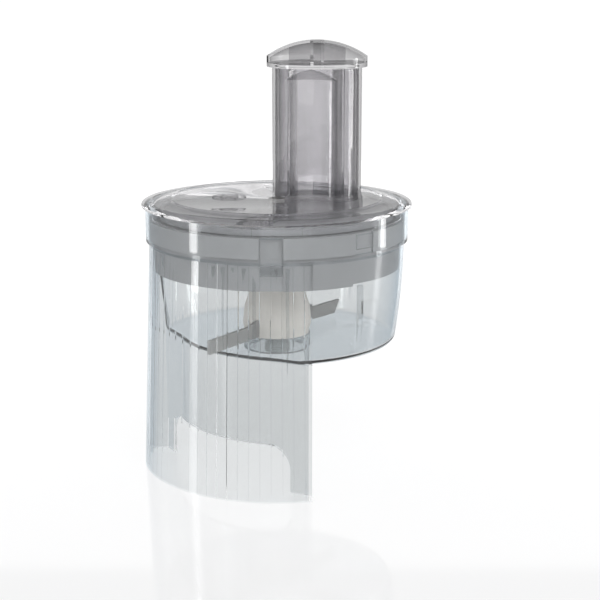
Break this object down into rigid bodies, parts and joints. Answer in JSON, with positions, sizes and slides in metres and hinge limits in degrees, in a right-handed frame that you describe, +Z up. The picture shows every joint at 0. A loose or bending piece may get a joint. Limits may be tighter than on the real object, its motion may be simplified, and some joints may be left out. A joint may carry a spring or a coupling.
{
  "type": "food processor dicing attachment",
  "caption": "Clear dicing attachment with a long fluted discharge chute, a lid with a feed tube and pusher, a fixed cutting grid and a rotor.",
  "frame": {"origin": "on the drive axis, at the underside of the housing floor, where the attachment seats on the drive", "axes": "+Z up along the drive axis, front towards -Y, the discharge chute at the front left"},
  "size_m": [0.1914, 0.1914, 0.2998],
  "materials": {
    "clear_plastic": "polished clear styrene plastic",
    "smoke_plastic": "polished smoke-grey clear plastic",
    "grey_plastic": "fine satin moulded plastic",
    "white_plastic": "satin moulded plastic",
    "warm_grey_plastic": "satin moulded plastic",
    "disc_plastic": "semi-gloss moulded plastic",
    "steel": "ground stainless steel",
    "bearing_plastic": "natural acetal bearing plastic",
    "seal_rubber": "silicone rubber"
  },
  "bodies": {
    "housing": {"housing_bowl": "clear_plastic", "discharge_chute": "clear_plastic", "drive_spigot": "clear_plastic", "shaft_bush": "bearing_plastic", "shaft_seal": "seal_rubber", "thrust_washer": "steel", "insert_ring": "grey_plastic", "grid_frame": "grey_plastic", "grid_blades_long": "steel", "grid_blades_cross": "steel", "grid_screws": "steel"},
    "lid": {"lid_shell": "smoke_plastic", "lid_badge": "smoke_plastic", "lid_bearing": "bearing_plastic", "feed_tube": "smoke_plastic"},
    "pusher": {"pusher_cup": "smoke_plastic", "pusher_cap": "smoke_plastic"},
    "rotor": {"drive_shaft": "steel", "retaining_ring": "steel", "drive_coupling": "bearing_plastic", "coupling_pin": "steel", "ejector_hub": "white_plastic", "ejector_wing_long": "warm_grey_plastic", "ejector_wing_short": "warm_grey_plastic", "cutting_disc": "disc_plastic", "disc_nut": "steel", "slicing_knife": "steel", "knife_screws": "steel"}
  },
  "joints": [
    {"name": "rotor_spin", "type": "hinge", "parent": "housing", "child": "rotor", "pos_m": [0, 0, 0.045], "axis": [0, 0, 1], "continuous": true},
    {"name": "lid_lift", "type": "slide", "parent": "housing", "child": "lid", "axis": [0, 0, 1], "range_m": [0, 0.06]},
    {"name": "pusher_slide", "type": "slide", "parent": "lid", "child": "pusher", "axis": [0, 0, 1], "range_m": [0, 0.1]}
  ]
}
